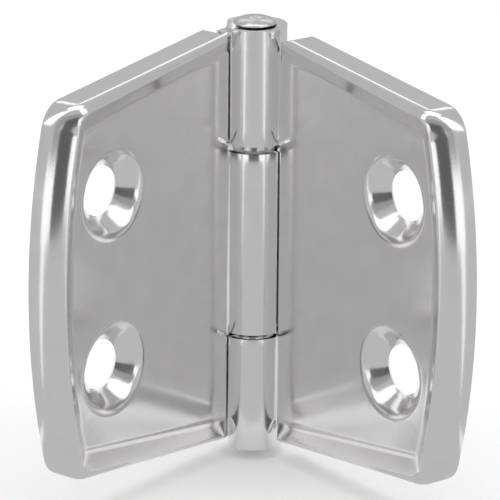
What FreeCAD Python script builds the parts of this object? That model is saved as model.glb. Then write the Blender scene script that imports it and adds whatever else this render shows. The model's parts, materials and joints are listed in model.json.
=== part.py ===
import FreeCAD
import Part
import Sketcher
import math
import os
import re

# Cranked hinge of pressed sheet steel: two tray shaped leaves with rolled knuckles on one pin.
# Everything is in millimetres, +Z runs along the pin and the origin is the middle of the pin.
# The open side of the V faces -Y. The left leaf carries the two outer knuckles and the pin,
# the right leaf carries the middle knuckle.

DOC = FreeCAD.newDocument("cranked_hinge")

# Each size of the hinge has one cell of the sheet. Sizes that follow from others are formulas.
SIZES = [
    ("sheet_thickness", 1.0),
    ("open_angle", 75.0),
    ("knuckle_radius", 2.95),
    ("knuckle_half_length", 20.0),
    ("middle_half_length", 8.65),
    ("middle_drop", 0.13),
    ("knuckle_gap", 0.55),
    ("pin_clearance", 0.05),
    ("head_radius", 2.02),
    ("head_height", 0.78),
    ("head_edge_height", 0.22),
    ("dome_flat_radius", 1.15),
    ("head_neck_widening", 0.05),
    ("bore_mouth_widening", 0.45),
    ("panel_setback", 0.6),
    ("rim_height", 0.9),
    ("mount_setback", 3.05),
    ("notch_clearance", 0.15),
    ("leaf_reach", 28.1),
    ("left_leaf_rise", 0.36),
    ("right_leaf_rise", 0.12),
    ("root_corner_radius", 1.3),
    ("web_dip", 0.8),
    ("leaf_half_root", 19.7),
    ("leaf_half_tip", 17.15),
    ("tip_arc_radius", 62.0),
    ("leaf_corner_radius", 2.7),
    ("rim_edge_radius", 1.1),
    ("tip_edge_radius", 1.5),
    ("panel_margin", 3.2),
    ("panel_half_root", 18.3),
    ("panel_half_tip", 14.7),
    ("rim_slope_width", 1.9),
    ("rim_end_lead", 1.1),
    ("flange_start", 3.75),
    ("hole_reach", 19.4),
    ("hole_spacing", 16.2),
    ("hole_radius", 2.28),
    ("dimple_depth", 1.65),
    ("dimple_lip_radius", 1.6),
    ("seat_angle", 45.0),
    ("crank_radius", 1.0),
    ("crank_reach", 3.75),
    ("roll_end_angle", -11.0),
    ("slit_width", 0.45),
    ("slit_length", 1.9),
    ("slit_angle", 30.0),
]

# Sizes that follow from the ones above.
FORMULAS = [
    ("bore_radius", "knuckle_radius - sheet_thickness"),
    ("pin_radius", "bore_radius - pin_clearance"),
    ("outer_start", "middle_half_length + knuckle_gap"),
    ("outer_length", "knuckle_half_length - outer_start"),
    ("notch_reach", "knuckle_radius + notch_clearance"),
    ("rim_front", "rim_height - panel_setback"),
    ("leaf_depth", "mount_setback + rim_front"),
    ("panel_back", "panel_setback + sheet_thickness"),
    ("leaf_turn", "90 - open_angle / 2"),
    ("crank_shift", "knuckle_radius - sheet_thickness - panel_setback"),
    ("crank_angle", "acos(1 - crank_shift / (2 * crank_radius))"),
    ("crank_end", "crank_reach - 2 * crank_radius * sin(crank_angle)"),
    ("crank_outer", "crank_radius + sheet_thickness / 2"),
    ("crank_inner", "crank_radius - sheet_thickness / 2"),
    ("arc_centre", "leaf_reach - tip_arc_radius"),
    ("hole_back", "panel_setback + dimple_depth"),
    ("dimple_radius", "hole_radius + dimple_depth * tan(seat_angle)"),
    ("seat_wall", "sheet_thickness / cos(seat_angle)"),
    ("pad_slope", "rim_slope_width / rim_height"),
    ("pad_shift", "(sqrt(1 + pad_slope^2) - pad_slope) * sheet_thickness"),
]

SHEET = DOC.addObject("Spreadsheet::Sheet", "Sizes")
ROW = 1
for alias, value in SIZES:
    SHEET.set("A%d" % ROW, alias)
    SHEET.set("B%d" % ROW, str(value))
    SHEET.setAlias("B%d" % ROW, alias)
    ROW = ROW + 1
for alias, formula in FORMULAS:
    SHEET.set("A%d" % ROW, alias)
    SHEET.set("B%d" % ROW, "=" + formula)
    SHEET.setAlias("B%d" % ROW, alias)
    ROW = ROW + 1
DOC.recompute()

NAMES = [alias for alias, content in SIZES + FORMULAS]


def linked(formula):
    # The formula as objects outside the sheet write it, with every cell named in full.
    return re.sub(r"\b(" + "|".join(NAMES) + r")\b", r"Sizes.\1", formula)


def value_of(formula):
    found = SHEET.evalExpression(linked(formula))
    return float(getattr(found, "Value", found))


# Room that a cutting solid keeps beyond the faces that it opens.
OVERCUT = "2"
QUARTER_TURN = 90.0
WHOLE_TURN = 360.0

FACING = FreeCAD.Rotation(FreeCAD.Vector(1, 0, 0), QUARTER_TURN)
LYING = FreeCAD.Rotation()


def put(thing, rotation, x, y, z):
    # x, y and z are formulas of the sheet.
    thing.Placement = FreeCAD.Placement(FreeCAD.Vector(0, 0, 0), rotation)
    thing.setExpression("Placement.Base.x", linked(x))
    thing.setExpression("Placement.Base.y", linked(y))
    thing.setExpression("Placement.Base.z", linked(z))
    return thing


def outline(name, corners, bends):
    # A closed profile. corners are pairs of formulas. bends maps the number of a side to
    # its radius, the centre of its arc, and True where the arc turns to the left.
    sketch = DOC.addObject("Sketcher::SketchObject", name)
    points = [FreeCAD.Vector(value_of(across), value_of(along), 0) for across, along in corners]
    count = len(points)
    starts = []
    ends = []
    for number in range(count):
        first = points[number]
        last = points[(number + 1) % count]
        leftward = True
        if number in bends:
            radius, centre_x, centre_y, leftward = bends[number]
            centre = FreeCAD.Vector(value_of(centre_x), value_of(centre_y), 0)
            circle = Part.Circle(centre, FreeCAD.Vector(0, 0, 1), value_of(radius))
            first_angle = math.atan2(first.y - centre.y, first.x - centre.x)
            last_angle = math.atan2(last.y - centre.y, last.x - centre.x)
            if leftward:
                sketch.addGeometry(Part.ArcOfCircle(circle, first_angle, last_angle))
            else:
                sketch.addGeometry(Part.ArcOfCircle(circle, last_angle, first_angle))
        else:
            sketch.addGeometry(Part.LineSegment(first, last))
        starts.append(1 if leftward else 2)
        ends.append(2 if leftward else 1)
    rules = []
    for number in range(count):
        after = (number + 1) % count
        rules.append(Sketcher.Constraint("Coincident", number, ends[number], after, starts[after]))
    sketch.addConstraint(rules)
    for number in range(count):
        across, along = corners[number]
        rule = Sketcher.Constraint("DistanceX", -1, 1, number, starts[number], points[number].x)
        place = sketch.addConstraint(rule)
        sketch.setExpression("Constraints[%d]" % place, linked(across))
        rule = Sketcher.Constraint("DistanceY", -1, 1, number, starts[number], points[number].y)
        place = sketch.addConstraint(rule)
        sketch.setExpression("Constraints[%d]" % place, linked(along))
    for number in sorted(bends):
        radius = bends[number][0]
        rule = Sketcher.Constraint("Radius", number, value_of(radius))
        place = sketch.addConstraint(rule)
        sketch.setExpression("Constraints[%d]" % place, linked(radius))
    return sketch


def pulled(name, sketch, length):
    solid = DOC.addObject("Part::Extrusion", name)
    solid.Base = sketch
    solid.DirMode = "Normal"
    solid.Solid = True
    solid.setExpression("LengthFwd", linked(length))
    return solid


def turned(name, sketch, axis):
    solid = DOC.addObject("Part::Revolution", name)
    solid.Source = sketch
    solid.Axis = axis
    solid.Angle = WHOLE_TURN
    solid.Solid = True
    return solid


def lofted(name, sections):
    solid = DOC.addObject("Part::Loft", name)
    solid.Sections = sections
    solid.Solid = True
    solid.Ruled = True
    return solid


def joined(name, parts):
    whole = DOC.addObject("Part::MultiFuse", name)
    whole.Shapes = parts
    return whole


def without(name, base, tools):
    tool = tools[0]
    if len(tools) > 1:
        tool = joined(name + "Tools", tools)
    rest = DOC.addObject("Part::Cut", name)
    rest.Base = base
    rest.Tool = tool
    return rest


def block(name, x, y, z, length, width, height):
    solid = DOC.addObject("Part::Box", name)
    solid.setExpression("Length", linked(length))
    solid.setExpression("Width", linked(width))
    solid.setExpression("Height", linked(height))
    return put(solid, LYING, x, y, z)


def cone(name, x, y, z, first_radius, last_radius, height):
    # A cone that runs backwards, along +Y, from its first radius to its last one.
    solid = DOC.addObject("Part::Cone", name)
    solid.setExpression("Radius1", linked(first_radius))
    solid.setExpression("Radius2", linked(last_radius))
    solid.setExpression("Height", linked(height))
    backwards = FreeCAD.Rotation(FreeCAD.Vector(1, 0, 0), -QUARTER_TURN)
    return put(solid, backwards, x, y, z)


def rounded(name, base, radius, chosen):
    # Rounds the edges for which chosen answers True.
    DOC.recompute()
    solid = DOC.addObject("Part::Fillet", name)
    solid.Base = base
    size = value_of(radius)
    numbers = [number for number, edge in enumerate(base.Shape.Edges, 1) if chosen(edge)]
    solid.Edges = [(number, size, size) for number in numbers]
    return solid


CLOSE = 0.01
TIP_SWEEP = 60.0


def runs_back(edge):
    # True for a straight edge that runs from the front to the back.
    if len(edge.Vertexes) < 2:
        return False
    run = edge.Vertexes[1].Point - edge.Vertexes[0].Point
    return abs(run.x) < CLOSE and abs(run.z) < CLOSE


def leaf_form(name, rise, inset, root, front, depth, corner, edge, tip):
    # The leaf's outer form, or its hollow, which is the same form set in by the sheet:
    # what the rounded outline, the rounded rims and the rounded tip have in common. The
    # hollow has no edge and tip radius: its corners are sharp.
    arc = "tip_arc_radius - %s" % inset
    half_tip = "(leaf_half_tip - %s)" % inset
    half_root = "(leaf_half_root - %s)" % inset
    reach = "(arc_centre + sqrt((%s)^2 - %s^2))" % (arc, half_tip)
    end = "(leaf_reach - %s)" % inset
    back = "%s + %s" % (front, depth)
    slope = "(%s - %s) / %s" % (half_root, half_tip, reach)
    half_start = "(%s - %s * %s)" % (half_root, slope, root)
    corners = [
        (root, "%s - %s" % (rise, half_start)),
        (reach, "%s - %s" % (rise, half_tip)),
        (reach, "%s + %s" % (rise, half_tip)),
        (root, "%s + %s" % (rise, half_start)),
    ]
    sketch = outline(name + "Outline", corners, {1: (arc, "arc_centre", rise, True)})
    put(sketch, FACING, "0", back, "0")
    flat = pulled(name + "Flat", sketch, depth)
    tip_reach = value_of(reach)

    def far_corner(found):
        return runs_back(found) and found.Vertexes[0].Point.x > tip_reach - CLOSE

    def root_corner(found):
        return runs_back(found) and found.Vertexes[0].Point.x < tip_reach / 2

    flat = rounded(name + "Corners", flat, corner, far_corner)
    flat = rounded(name + "RootCorners", flat, "root_corner_radius", root_corner)

    far = "(leaf_reach + %s)" % OVERCUT
    half_far = "(%s - %s * %s)" % (half_root, slope, far)
    corners = [
        ("-%s" % OVERCUT, "%s - %s - %s * %s" % (rise, half_root, slope, OVERCUT)),
        (far, "%s - %s" % (rise, half_far)),
        (far, "%s + %s" % (rise, half_far)),
        ("-%s" % OVERCUT, "%s + %s + %s * %s" % (rise, half_root, slope, OVERCUT)),
    ]
    sketch = outline(name + "Strip", corners, {})
    put(sketch, FACING, "0", back, "0")
    strip = pulled(name + "Rims", sketch, depth)
    front_y = value_of(front)

    def rim_edge(found):
        ends = [vertex.Point for vertex in found.Vertexes]
        level = all(abs(point.y - front_y) < CLOSE for point in ends)
        return level and abs(ends[0].x - ends[1].x) > CLOSE

    if edge:
        strip = rounded(name + "RimEdges", strip, edge, rim_edge)

    corners = [("0", front), (end, front), (end, back), ("0", back)]
    bends = {}
    if tip:
        turning = "(%s - %s)" % (end, tip)
        corners = [("0", front), (turning, front), (end, "%s + %s" % (front, tip)), (end, back), ("0", back)]
        bends = {1: (tip, turning, "%s + %s" % (front, tip), True)}
    sketch = outline(name + "Section", corners, bends)
    put(sketch, LYING, "0", "0", rise)
    sweep = turned(name + "Tip", sketch, FreeCAD.Vector(0, 1, 0))
    sweep.setExpression("Base.x", linked("arc_centre"))
    sweep.setExpression("Base.z", linked(rise))
    sweep.Angle = TIP_SWEEP
    sweep.Symmetric = True

    form = DOC.addObject("Part::MultiCommon", name)
    form.Shapes = [flat, strip, sweep]
    return form


def panel_loft(name, rise, grow_back, back, grow_front, front):
    # The sunk panel as a solid between two depths, wider at the front by its sloping walls.
    sections = []
    for label, grow, depth in (("Back", grow_back, back), ("Front", grow_front, front)):
        arc = "(tip_arc_radius - panel_margin + %s)" % grow
        half_tip = "(panel_half_tip + %s)" % grow
        half_root = "(panel_half_root + %s)" % grow
        reach = "(arc_centre + sqrt(%s^2 - %s^2))" % (arc, half_tip)
        corners = [
            ("-%s" % OVERCUT, "%s - %s" % (rise, half_root)),
            (reach, "%s - %s" % (rise, half_tip)),
            (reach, "%s + %s" % (rise, half_tip)),
            ("-%s" % OVERCUT, "%s + %s" % (rise, half_root)),
        ]
        sketch = outline(name + label, corners, {1: (arc, "arc_centre", rise, True)})
        sections.append(put(sketch, FACING, "0", depth, "0"))
    return lofted(name, sections)


def roll_profile(name):
    # The knuckle's sheet seen along the pin: the panel steps back, passes behind the pin
    # and rolls round it until its free end meets the panel's front face again.
    step = "crank_angle"
    first_centre = ("crank_reach", "panel_setback + crank_outer")
    last_centre = ("crank_end", "bore_radius - crank_inner")
    corners = [
        ("crank_reach + rim_end_lead", "panel_setback"),
        ("crank_reach", "panel_setback"),
        ("crank_reach - crank_outer * sin(crank_angle)",
         "panel_setback + crank_outer - crank_outer * cos(crank_angle)"),
        ("crank_end", "bore_radius"),
        ("0", "bore_radius"),
        ("bore_radius * cos(roll_end_angle)", "-bore_radius * sin(roll_end_angle)"),
        ("knuckle_radius * cos(roll_end_angle)", "-knuckle_radius * sin(roll_end_angle)"),
        ("0", "knuckle_radius"),
        ("crank_end", "knuckle_radius"),
        ("crank_end + crank_outer * sin(crank_angle)",
         "bore_radius - crank_inner + crank_outer * cos(crank_angle)"),
        ("crank_reach", "panel_back"),
        ("crank_reach + rim_end_lead", "panel_back"),
    ]
    bends = {
        1: ("crank_outer", first_centre[0], first_centre[1], False),
        2: ("crank_inner", last_centre[0], last_centre[1], True),
        4: ("bore_radius", "0", "0", True),
        6: ("knuckle_radius", "0", "0", False),
        8: ("crank_outer", last_centre[0], last_centre[1], False),
        9: ("crank_inner", first_centre[0], first_centre[1], True),
    }
    return outline(name, corners, bends)


def knuckle(name, rise, low, length, side):
    sketch = put(roll_profile(name + "Profile"), LYING, "0", "0", low)
    roll = pulled(name + "Roll", sketch, length)
    if not side:
        return roll
    # The web beside an outer roll is cut back. The crank rises from it to the leaf's end.
    slope = "(leaf_half_root - leaf_half_tip) / leaf_reach"
    far = "(crank_reach + rim_end_lead + %s)" % OVERCUT
    near_half = "(leaf_half_root - %s * notch_reach)" % slope
    far_half = "(leaf_half_root - %s * %s)" % (slope, far)
    corners = [
        ("0", "%s %s (leaf_half_root - web_dip)" % (rise, side)),
        ("crank_end", "%s %s (leaf_half_root - web_dip)" % (rise, side)),
        ("notch_reach", "%s %s %s" % (rise, side, near_half)),
        (far, "%s %s %s" % (rise, side, far_half)),
        (far, "%s(knuckle_half_length * 2)" % side),
        ("0", "%s(knuckle_half_length * 2)" % side),
    ]
    trim = put(outline(name + "WebEnd", corners, {}), FACING, "0", "leaf_depth * 2", "0")
    trim = pulled(name + "WebBlock", trim, "leaf_depth * 3")
    ring = DOC.addObject("Part::Cylinder", name + "Ring")
    ring.setExpression("Radius", linked("knuckle_radius"))
    ring.setExpression("Height", linked("knuckle_half_length * 4"))
    put(ring, LYING, "0", "0", "-knuckle_half_length * 2")
    return without(name, roll, [without(name + "WebTrim", trim, [ring])])


def bore_mouth(name, end, upward):
    # The rounded over mouth of the bore in which the pin's head sits.
    mouth = DOC.addObject("Part::Cone", name)
    mouth.setExpression("Radius1", linked("bore_radius - bore_mouth_widening"))
    mouth.setExpression("Radius2", linked("bore_radius + bore_mouth_widening * 2"))
    mouth.setExpression("Height", linked("bore_mouth_widening * 3"))
    if upward:
        return put(mouth, LYING, "0", "0", "%s - bore_mouth_widening * 2" % end)
    flipped = FreeCAD.Rotation(FreeCAD.Vector(1, 0, 0), WHOLE_TURN / 2)
    return put(mouth, flipped, "0", "0", "%s + bore_mouth_widening * 2" % end)


def dimple_cutter(name, height):
    # The countersunk seat and its hole: a lip bent over the panel's edge in two steps, a
    # cone and the hole's straight wall.
    half_lip = "dimple_lip_radius * tan(45 - seat_angle / 2)"
    lip_reach = "dimple_radius + %s" % half_lip
    far = "mount_setback + %s" % OVERCUT
    near = "-rim_front - %s" % OVERCUT
    corners = [
        ("0", near),
        (lip_reach, near),
        (lip_reach, "panel_setback"),
        ("%s - dimple_lip_radius * sin(seat_angle / 2)" % lip_reach,
         "panel_setback + dimple_lip_radius * (1 - cos(seat_angle / 2))"),
        ("dimple_radius - %s * sin(seat_angle)" % half_lip,
         "panel_setback + %s * cos(seat_angle)" % half_lip),
        ("hole_radius", "hole_back"),
        ("hole_radius", far),
        ("0", far),
    ]
    sketch = put(outline(name + "Section", corners, {}), LYING, "hole_reach", "0", height)
    cutter = turned(name, sketch, FreeCAD.Vector(0, 1, 0))
    cutter.setExpression("Base.x", linked("hole_reach"))
    cutter.setExpression("Base.z", linked(height))
    return cutter


def dimple_back(name, height):
    start = "(panel_back - sheet_thickness / 2)"
    first = "hole_radius + seat_wall + (hole_back - %s) * tan(seat_angle)" % start
    last = "hole_radius + seat_wall + (hole_back - mount_setback) * tan(seat_angle)"
    return cone(name, "hole_reach", start, height, first, last, "mount_setback - (%s)" % start)


def slit(name, corner, direction):
    # A short relief slit that runs outwards from a corner of the notch.
    tool = DOC.addObject("Part::Box", name)
    tool.setExpression("Length", linked("slit_length"))
    tool.setExpression("Width", linked("leaf_depth + 2 * " + OVERCUT))
    tool.setExpression("Height", linked("slit_width"))
    tilt = FreeCAD.Rotation(FreeCAD.Vector(0, 1, 0), -direction * value_of("slit_angle"))
    lift = "%s - slit_width / 2" % corner
    return put(tool, tilt, "notch_reach - slit_width / 2", "-rim_front - " + OVERCUT, lift)


def leaf(name, rise, rolls, rooms, slits):
    # One leaf in its own frame: +X runs out along the leaf, +Y back through it.
    # rolls are the lower ends and lengths of its knuckles, with the sign of the end of the
    # leaf at which a knuckle lies, if it does. rooms are the cuts that the knuckles fill.
    form = leaf_form(name + "Form", rise, "0", "notch_reach", "-rim_front", "leaf_depth",
                     "leaf_corner_radius", "rim_edge_radius", "tip_edge_radius")
    hollow = leaf_form(name + "Hollow", rise, "sheet_thickness", "0", "sheet_thickness - rim_front",
                       "leaf_depth", "leaf_corner_radius - sheet_thickness", None, None)
    back_room = "sheet_thickness"
    grow = "(pad_shift + pad_slope * (rim_height + %s / 2))" % back_room
    pad = panel_loft(name + "Pad", rise, "pad_shift", "panel_back", grow,
                     "panel_back - rim_height - %s / 2" % back_room)
    hollow = without(name + "Inside", hollow, [pad])
    front_room = "rim_height"
    grow = "(pad_slope * (rim_height + %s))" % front_room
    recess = panel_loft(name + "Recess", rise, "0", "panel_setback", grow,
                        "panel_setback - rim_height - %s" % front_room)
    flange_end = block(name + "FlangeEnd", "-" + OVERCUT, "panel_back", "-leaf_half_root * 2",
                       "flange_start + " + OVERCUT, "leaf_depth", "leaf_half_root * 4")
    start = "crank_reach" if len(rolls) > 1 else "notch_reach"
    corners = [
        ("-" + OVERCUT, "-rim_front - rim_height"),
        ("%s + rim_end_lead * 2" % start, "-rim_front - rim_height"),
        (start, "panel_setback"),
        ("-" + OVERCUT, "panel_setback"),
    ]
    ramp = outline(name + "RampSection", corners, {})
    put(ramp, LYING, "0", "0", "-leaf_half_root * 2")
    ramp = pulled(name + "Ramp", ramp, "leaf_half_root * 4")
    tools = [hollow, recess, flange_end, ramp]
    for number, (low, length) in enumerate(rooms):
        tools.append(block("%sRoom%d" % (name, number), "-" + OVERCUT, "-leaf_depth", low,
                           "crank_reach + " + OVERCUT, "leaf_depth * 3", length))
    for number, (corner, direction) in enumerate(slits):
        tools.append(slit("%sSlit%d" % (name, number), corner, direction))
    tray = without(name + "Tray", form, tools)
    solids = [tray]
    heights = (rise + " + hole_spacing / 2", rise + " - hole_spacing / 2")
    for number, height in enumerate(heights):
        solids.append(dimple_back("%sDimple%d" % (name, number), height))
    for number, (low, length, side) in enumerate(rolls):
        solids.append(knuckle("%sKnuckle%d" % (name, number), rise, low, length, side))
    whole = joined(name + "Whole", solids)
    tools = []
    for number, height in enumerate(heights):
        tools.append(dimple_cutter("%sSeat%d" % (name, number), height))
    if len(rolls) > 1:
        tools.append(bore_mouth(name + "TopMouth", "knuckle_half_length", True))
        tools.append(bore_mouth(name + "LowMouth", "-knuckle_half_length", False))
    return without(name, whole, tools)


def turn(thing, flip):
    # Sets a leaf at half the open angle. The left leaf is turned over as well.
    base = FreeCAD.Rotation(FreeCAD.Vector(0, 1, 0), WHOLE_TURN / 2) if flip else LYING
    thing.Placement = FreeCAD.Placement(FreeCAD.Vector(0, 0, 0), base)
    if flip:
        thing.setExpression("Placement.Rotation", linked("rotation(leaf_turn; 180; 0)"))
    else:
        thing.setExpression("Placement.Rotation", linked("rotation(-leaf_turn; 0; 0)"))
    return thing


def pin_half(mouth_end):
    # One end of the pin's section, from the shaft to the flat top of its peened head.
    seat = "(bore_radius + head_neck_widening)"
    return [
        ("pin_radius", "%s - bore_mouth_widening - pin_clearance" % mouth_end),
        (seat, "%s - bore_mouth_widening + head_neck_widening" % mouth_end),
        (seat, mouth_end),
        ("head_radius", "%s + head_edge_height" % mouth_end),
        ("dome_flat_radius", "%s + head_height" % mouth_end),
    ]


end = "knuckle_half_length"
upper = pin_half(end)
lower = [(across, "-(%s)" % along) for across, along in upper]
lower.reverse()
top = "%s + head_height" % end
section = [("0", "-(%s)" % top)] + lower + upper + [("0", top)]
pin_section = put(outline("PinSection", section, {}), FACING, "0", "0", "0")
pin = turned("pin", pin_section, FreeCAD.Vector(0, 0, 1))

left_rolls = [
    ("outer_start", "outer_length", "+"),
    ("-knuckle_half_length", "outer_length", "-"),
]
left_rooms = [
    ("outer_start", "leaf_half_root * 2"),
    ("-outer_start - leaf_half_root * 2", "leaf_half_root * 2"),
]
left_slits = [("outer_start", -1), ("-outer_start", -1)]
left_leaf = turn(leaf("left_leaf", "(-left_leaf_rise)", left_rolls, left_rooms, left_slits), True)

middle_start = "-middle_half_length - middle_drop"
right_rolls = [(middle_start, "middle_half_length * 2", "")]
right_rooms = [(middle_start, "middle_half_length * 2")]
right_slits = [("outer_start", 1)]
right_leaf = turn(leaf("right_leaf", "right_leaf_rise", right_rolls, right_rooms, right_slits), False)

DOC.recompute()

for thing in DOC.Objects:
    if "Invalid" in thing.State or "Error" in thing.State:
        raise SystemExit("object %s is in error: %s" % (thing.Name, thing.State))
    shape = getattr(thing, "Shape", None)
    if shape is not None and (shape.isNull() or not shape.isValid()):
        raise SystemExit("object %s has no valid shape" % thing.Name)

os.makedirs("parts", exist_ok=True)
for node, thing in (("left_leaf", left_leaf), ("right_leaf", right_leaf), ("pin", pin)):
    solids = thing.Shape.Solids
    if len(solids) != 1:
        raise SystemExit("%s is not one solid but %d" % (node, len(solids)))
    thing.Shape.exportStep("parts/%s.step" % node)
    print(node, round(thing.Shape.Volume, 1), "cubic mm", thing.Shape.BoundBox)
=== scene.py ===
import json
import math
from types import SimpleNamespace

import bmesh
import bpy
from mathutils import Matrix, Vector
from mathutils.geometry import delaunay_2d_cdt


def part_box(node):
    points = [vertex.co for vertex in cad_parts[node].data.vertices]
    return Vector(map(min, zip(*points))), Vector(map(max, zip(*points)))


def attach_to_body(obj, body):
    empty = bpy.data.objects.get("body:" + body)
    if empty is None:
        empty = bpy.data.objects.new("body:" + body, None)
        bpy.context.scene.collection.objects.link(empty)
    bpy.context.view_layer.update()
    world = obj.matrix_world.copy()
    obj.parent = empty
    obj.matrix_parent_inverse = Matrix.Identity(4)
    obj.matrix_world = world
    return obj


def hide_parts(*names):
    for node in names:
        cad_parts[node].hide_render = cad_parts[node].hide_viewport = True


bl_info = {
    "name": "Cranked Hinge",
    "version": (1, 0, 0),
    "blender": (4, 5, 0),
    "location": "View3D > Sidebar > Hinge",
    "description": "Builds a pressed stainless steel hinge, its finishes and a pale studio round it",
    "category": "Add Mesh",
}

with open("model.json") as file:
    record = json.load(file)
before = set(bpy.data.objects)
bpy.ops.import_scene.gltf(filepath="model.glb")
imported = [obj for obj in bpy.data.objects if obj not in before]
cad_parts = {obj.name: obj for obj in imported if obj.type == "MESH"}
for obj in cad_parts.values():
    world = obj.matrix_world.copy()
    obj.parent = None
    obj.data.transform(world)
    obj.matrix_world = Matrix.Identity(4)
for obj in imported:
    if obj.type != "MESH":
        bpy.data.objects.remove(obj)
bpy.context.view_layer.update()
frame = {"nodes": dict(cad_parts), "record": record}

MM = 0.001
IMAGE_SIDE = 500
SENSOR = 36.0
MOUNTS = {mount["name"]: mount for mount in frame["record"]["mounts"]}
PIN_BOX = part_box("pin")


def linear(value):
    """The linear colour, with alpha, of an sRGB hex value."""
    parts = [int(value[place:place + 2], 16) / 255 for place in (1, 3, 5)]
    return [part / 12.92 if part <= 0.04045 else ((part + 0.055) / 1.055) ** 2.4 for part in parts] + [1.0]


def mm_size(name, default, description):
    """A length that the user can change. Its default is given in millimetres."""
    return bpy.props.FloatProperty(name=name, description=description, default=default * MM, min=0.0,
                                   precision=5, subtype="DISTANCE")


def turn_angle(name, default, description):
    """An angle that the user can change. Its default is given in degrees."""
    return bpy.props.FloatProperty(name=name, description=description, default=math.radians(default),
                                   subtype="ANGLE")


def part_of_one(name, default, description):
    return bpy.props.FloatProperty(name=name, description=description, default=default, min=0.0, max=1.0,
                                   subtype="FACTOR")


def plain_number(name, default, description):
    return bpy.props.FloatProperty(name=name, description=description, default=default, min=0.0)


def image_place(name, default, description):
    return bpy.props.FloatProperty(name=name, description=description, default=default, subtype="PIXEL")


def hex_colour(name, default, description):
    """A colour that the user can change. Its default is an sRGB hex value."""
    return bpy.props.FloatVectorProperty(name=name, description=description, default=linear(default), size=4,
                                         min=0.0, max=1.0, subtype="COLOR")


class SheetSizes(bpy.types.PropertyGroup):
    """The pressed sheet of both leaves."""

    thickness: mm_size("Thickness", 1.0, "Thickness of the sheet")
    knuckle_radius: mm_size("Knuckle radius", 2.95, "Outer radius of the rolled knuckles")
    knuckle_half_length: mm_size("Knuckle half length", 20.0, "From the middle to the hinge's ends")
    outer_start: mm_size("Outer knuckle start", 9.2, "From the middle to the outer knuckles' near ends")
    middle_low: mm_size("Middle knuckle below", 8.78, "How far the middle knuckle reaches down")
    middle_high: mm_size("Middle knuckle above", 8.52, "How far the middle knuckle reaches up")
    roll_gap: turn_angle("Roll end angle", -11.0, "Between the roll's free end and the leaf's plane")
    notch: mm_size("Notch", 3.1, "From the pin's axis to the edge beside the other leaf's knuckle")
    panel: mm_size("Panel depth", 0.6, "How far the sunk panel lies behind the pin's axis")
    rim: mm_size("Rim height", 0.9, "How far the rim stands in front of the panel")
    flange: mm_size("Flange depth", 3.05, "How far the folded flange reaches behind the pin's axis")
    flange_start: mm_size("Flange start", 3.75, "Where the flange begins, from the pin's axis")
    reach: mm_size("Reach", 28.1, "From the pin's axis to the leaf's tip")
    half_root: mm_size("Half height at the pin", 19.7, "Half of the leaf's height at the pin's axis")
    half_tip: mm_size("Half height at the tip", 17.15, "Half of the leaf's height at its tip")
    tip_arc: mm_size("Tip arc radius", 62.0, "Radius of the bowed tip")
    corner: mm_size("Corner radius", 2.7, "Radius of the leaf's outer corners")
    panel_corner: mm_size("Panel corner radius", 1.5, "Radius of the sunk panel's corners")
    root_corner: mm_size("Root corner radius", 1.7, "Radius of the corners beside the other leaf's knuckle")
    margin: mm_size("Panel margin", 2.8, "From the leaf's tip to the foot of the slope")
    panel_from: mm_size("Panel start", 2.0, "Where the root's half height is measured, beyond the pin's axis")
    panel_root: mm_size("Panel half height at the root", 18.3, "Half of the sunk panel's height at its start")
    panel_tip: mm_size("Panel half height at the tip", 14.7, "Half of the sunk panel's height at its tip")
    rim_slope: mm_size("Slope width", 1.9, "Width of the slope over the rim's whole height")
    edge_bend: mm_size("Edge bend radius", 1.1, "Bend from the flange to the rim along the top and bottom")
    tip_bend: mm_size("Tip bend radius", 3.2, "Bend from the flange to the rim along the tip")
    rim_lead: mm_size("Rim lead", 1.1, "Length over which the rim sinks to the panel beside the pin")
    crank_reach: mm_size("Crank reach", 3.22, "Where the sheet starts to step back, from the pin's axis")
    crank_bend: mm_size("Crank bend radius", 1.0, "Radius of the step's two bends in the sheet's middle")
    web_dip: mm_size("Web dip", 0.8, "How far the web beside an outer knuckle lies inside the leaf's end")
    slit_width: mm_size("Slit width", 0.3, "Width of the relief slits beside the knuckles")
    slit_length: mm_size("Slit length", 1.9, "Length of the relief slits")
    slit_angle: turn_angle("Slit angle", 30.0, "Rise of the relief slits")
    seat_depth: mm_size("Seat depth", 1.65, "Depth of the dimpled seat, and width of its cone")
    seat_lip: mm_size("Seat lip radius", 1.6, "Rounding between the panel and the seat's cone")
    cut_edge: mm_size("Cut edge", 0.09, "Rounding of the sheet's cut edges")


class PinSizes(bpy.types.PropertyGroup):
    """The pin."""

    shaft_radius: mm_size("Shaft radius", 1.9, "Radius of the pin inside the knuckles")
    neck_radius: mm_size("Neck radius", 1.78, "Radius of the pin in the knuckle's mouth")
    neck_depth: mm_size("Neck depth", 0.45, "From the knuckle's end to where the neck widens")
    neck_cone: mm_size("Neck cone", 0.1, "Length over which the neck widens to the shaft")
    edge_height: mm_size("Head edge height", 0.22, "Height of the head's widest circle over the knuckle")
    edge_radius: mm_size("Head edge radius", 0.12, "Rounding of the head's edge")
    dome_power: plain_number("Dome power", 2.3, "How flat the middle of the dome is")
    boss_radius: mm_size("Boss radius", 0.75, "Radius of the small boss that the peening leaves")
    boss_height: mm_size("Boss height", 0.07, "Height of that boss over its groove")
    groove_width: mm_size("Groove width", 0.22, "Half width of the groove round the boss")


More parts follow.
